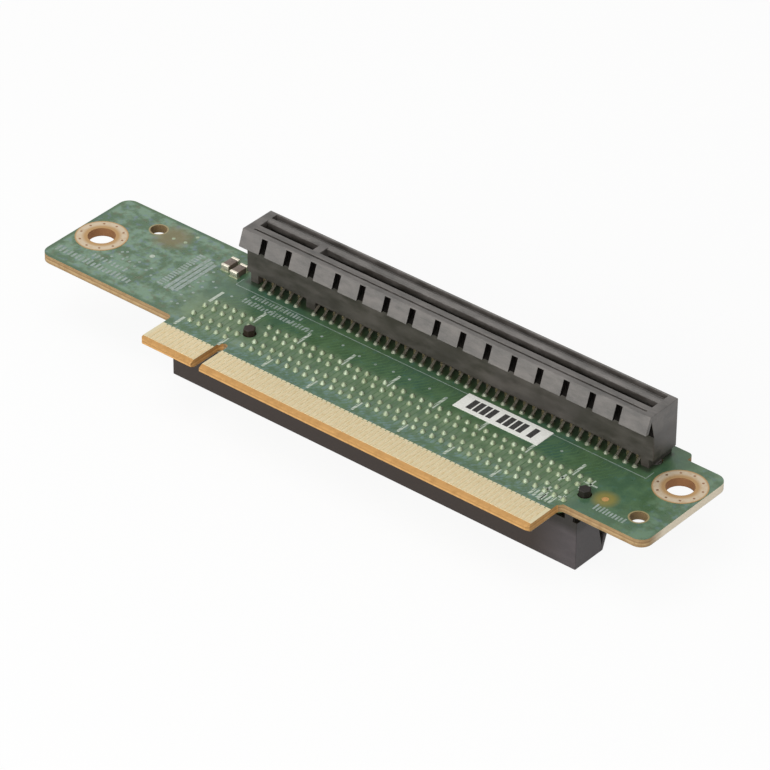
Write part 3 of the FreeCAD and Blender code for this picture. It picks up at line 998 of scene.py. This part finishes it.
printing = {
    "rise": 0.014,
    "sunk": 0.005,
    "lineHalf": 0.07,
    "slotMargin": 5.1,  # from a slot's middle to the outline beside it
    "pastEnds": 0.5,
    "returns": 2.2,  # length of the outline's short sides
    "firstTick": -40.8,
    "tickEvery": 10.0,
    "ticks": ((0.28, 6.9, 9.6), (0.3, 16.0, 19.8)),  # half width, and from where to where along Y
    "shortest": 0.7,  # share of the longest bar in a row
    # Ink, corner, how many bars, longest one, thickness, gap, and the axis that the row runs along
    "rows": (
        ("faded", -51.9, 14.6, 17, 1.6, 0.45, 0.25, "Y"),
        ("faded", -72.6, 11.0, 19, 1.7, 0.5, 0.42, "X"),
        ("faded", -66.2, 13.4, 9, 1.3, 0.42, 0.5, "X"),
        ("faded", -36.6, 19.6, 22, 1.5, 0.42, 0.3, "X"),
        ("faded", -36.0, 21.6, 16, 1.3, 0.42, 0.3, "X"),
        ("white", 36.8, 7.2, 6, 2.2, 0.5, 0.32, "X"),
        ("faded", 47.6, 10.6, 10, 1.7, 0.36, 0.3, "X"),
    ),
    "stripes": (
        (-49.9, -49.15, 14.2, 26.2),
        (-48.9, -48.15, 14.5, 25.8),
        (-47.9, -47.15, 14.8, 25.4),
    ),
    "dot": (-57.9, 20.3, 0.5),
    "dotSides": 14,
    "peg": (40.9, 13.0),
    "crosses": (  # offset from the right-hand peg, and length
        (-2.4, 1.4, 2.2), (2.4, 2.8, 2.8), (1.9, 1.0, 1.6), (-2.2, -2.8, 1.8), (1.2, -3.2, 1.8),
    ),
    "crossHalf": 0.2,
}


def makePrint():
    ink = {"white": bmesh.new(), "faded": bmesh.new()}

    def bar(name, x0, x1, y0, y1, side=1):
        # A printed rectangle between two corners, on the top face or the lower one
        middle = (x0 + x1) / 2
        heights = onFace(side, printing["rise"], printing["sunk"])
        addRibbon(ink[name], [(middle, y0), (middle, y1)], x1 - x0, *heights)

    half = printing["lineHalf"]
    for slotName, side in (("upper", 1), ("lower", -1)):
        low, high = slotBox[slotName]
        x0, x1 = low.x / mm - printing["pastEnds"], high.x / mm + printing["pastEnds"]
        front = slot["setback"][slotName] - side * printing["slotMargin"]
        bar("faded", x0, x1, front - half, front + half, side)
        for x in (x0, x1):
            y0, y1 = sorted((front, front + side * printing["returns"]))
            bar("faded", x - half, x + half, y0, y1, side)
    ticks = int((slotBox["upper"][1].x / mm - printing["firstTick"]) / printing["tickEvery"])
    for i in range(ticks + 1):
        x = printing["firstTick"] + printing["tickEvery"] * i
        for side in (1, -1):
            for tickHalf, y0, y1 in printing["ticks"]:
                bar("white", x - tickHalf, x + tickHalf, y0, y1, side)
    for name, x, y, count, longest, thick, gap, axis in printing["rows"]:
        for i in range(count):
            start = i * (thick + gap)
            size = longest * chance.uniform(printing["shortest"], 1.0)
            if axis == "X":
                bar(name, x + start, x + start + thick, y, y + size)
            else:
                bar(name, x, x + size, y + start, y + start + thick)
    for stripe in printing["stripes"]:
        bar("faded", *stripe)
    heights = onFace(1, printing["rise"], printing["sunk"])
    addDisc(ink["white"], *printing["dot"], *heights, printing["dotSides"])
    half = printing["crossHalf"]
    for dx, dy, long in printing["crosses"]:
        x, y = printing["peg"][0] + dx, printing["peg"][1] + dy
        bar("white", x - long / 2, x + long / 2, y - half, y + half)
        bar("white", x - half, x + half, y - long / 2, y + long / 2)
    finishPiece(ink["white"], "boardPrint", whiteInk)
    finishPiece(ink["faded"], "thinBoardPrint", fadedInk)


makePrint()


# The label's print: groups of plain dark blocks, as wide and bold as a line of capitals

labelPrint = {
    "margin": 0.9,
    "blockWidth": 1.1,
    "blockGap": 0.3,
    "groupGap": 1.2,
    "groups": (4, 4, 1),
    "rise": 0.01,
    "sunk": 0.005,
}


def makeLabelPrint():
    low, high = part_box("paper_label")
    width, gap, groups = labelPrint["blockWidth"], labelPrint["blockGap"], labelPrint["groups"]
    total = sum(count * width + (count - 1) * gap for count in groups)
    total += labelPrint["groupGap"] * (len(groups) - 1)
    x = (low.x + high.x) / 2 / mm - total / 2
    y0, y1 = low.y / mm + labelPrint["margin"], high.y / mm - labelPrint["margin"]
    bottom, top = high.z / mm - labelPrint["sunk"], high.z / mm + labelPrint["rise"]
    bm = bmesh.new()
    for count in groups:
        for i in range(count):
            addRibbon(bm, [(x + width / 2, y0), (x + width / 2, y1)], width, bottom, top)
            x += width + (gap if i < count - 1 else labelPrint["groupGap"])
    finishPiece(bm, "labelPrint", labelInk)


makeLabelPrint()


# Floor, light and camera

room = {
    "floorHalf": 1.5,
    "floorGap": 0.02,
    "floorColour": "f4f4f2",
    "floorGlow": 0.9,
    "world": 0.42,
    # Place from the card's middle, size in metres, and watts
    "lamps": {
        "keyLamp": ((0.14, -0.78, 0.42), 0.5, 4.8),
        "sheenLamp": ((-0.53, -0.8, 0.1), 0.55, 2.7),
        "topLamp": ((-0.2, -0.1, 0.8), 0.6, 2.0),
    },
}


def makeFloor():
    place = Matrix.Translation((0, 0, cadLow.z - room["floorGap"] * mm))
    bm = bmesh.new()
    bmesh.ops.create_grid(bm, x_segments=1, y_segments=1, size=room["floorHalf"], matrix=place)
    mesh = meshFrom(bm, "floor")
    floor = bpy.data.objects.new("floor", mesh)
    bpy.context.scene.collection.objects.link(floor)
    material = bpy.data.materials.new("paleFloor")
    material.use_nodes = True
    tree = material.node_tree
    tree.nodes.clear()
    share = addNode(tree, "Math", {0: seenDirectly(tree), 1: room["floorGlow"]}, operation="MULTIPLY")
    matt = addNode(tree, "BsdfDiffuse", {"Color": srgb(room["floorColour"])})
    plain = addNode(tree, "Emission", {"Color": srgb("ffffff"), "Strength": 1.0})
    mixed = addNode(tree, "MixShader", {0: share, 1: matt, 2: plain})
    addNode(tree, "OutputMaterial", {"Surface": mixed})
    mesh.materials.append(material)


def seenDirectly(tree):
    # 1 for what the camera, a reflection or a clear piece looks at, 0 for light that bounces
    path = addNode(tree, "LightPath").outputs
    seen = path["Is Camera Ray"]
    for other in ("Is Glossy Ray", "Is Transmission Ray"):
        seen = addNode(tree, "Math", {0: seen, 1: path[other]}, operation="MAXIMUM")
    return seen


def makeWorld():
    world = bpy.data.worlds.new("softRoom")
    bpy.context.scene.world = world
    world.use_nodes = True
    tree = world.node_tree
    tree.nodes.clear()
    strength = addNode(tree, "MapRange", {
        "Value": seenDirectly(tree), "To Min": room["world"], "To Max": 1.0,
    })
    light = addNode(tree, "Background", {"Color": srgb("ffffff"), "Strength": strength})
    addNode(tree, "OutputWorld", {"Surface": light})


def makeLight():
    centre = (cadLow + cadHigh) / 2
    for name, (offset, size, watts) in room["lamps"].items():
        lamp = bpy.data.lights.new(name, "AREA")
        lamp.shape = "SQUARE"
        lamp.size = size
        lamp.energy = watts
        holder = bpy.data.objects.new(name, lamp)
        holder.location = centre + Vector(offset)
        holder.rotation_euler = (-Vector(offset)).to_track_quat("-Z", "Y").to_euler()
        bpy.context.scene.collection.objects.link(holder)


photoView = {
    "azimuth": 39.8,
    "elevation": 34.41,
    "roll": 0.33,
    "distance": 886.0,
    "target": (-7.05, 16.85, 0.0),
    "aimRight": 4.07,  # the aim is moved from the target to the middle of the card's outline
    "aimUp": -1.84,
    "lens": 243.0,
    "sensor": 36.0,
    "clip": (0.01, 20.0),
}


def makeCamera():
    view = photoView
    azimuth, elevation = math.radians(view["azimuth"]), math.radians(view["elevation"])
    look = Vector((
        -math.sin(azimuth) * math.cos(elevation), math.cos(azimuth) * math.cos(elevation),
        -math.sin(elevation),
    ))
    right = Vector((math.cos(azimuth), math.sin(azimuth), 0))
    up = right.cross(look)
    roll = Matrix.Rotation(-math.radians(view["roll"]), 3, look)
    right, up = roll @ right, roll @ up
    target = Vector(view["target"])
    eye = target - look * view["distance"]
    aim = target + right * view["aimRight"] + up * view["aimUp"]
    back = (eye - aim).normalized()
    right = up.cross(back).normalized()
    up = back.cross(right)
    camera = bpy.data.objects.new("camera", bpy.data.cameras.new("camera"))
    camera.data.sensor_width = view["sensor"]
    camera.data.lens = view["lens"]
    camera.data.clip_start, camera.data.clip_end = view["clip"]
    turn = Matrix((right, up, back)).transposed().to_4x4()
    camera.matrix_world = Matrix.Translation(eye * mm) @ turn
    bpy.context.scene.collection.objects.link(camera)
    bpy.context.scene.camera = camera


makeFloor()
makeWorld()
makeLight()
makeCamera()
bpy.context.scene.view_settings.view_transform = "Standard"
print("set the floor, light and camera")
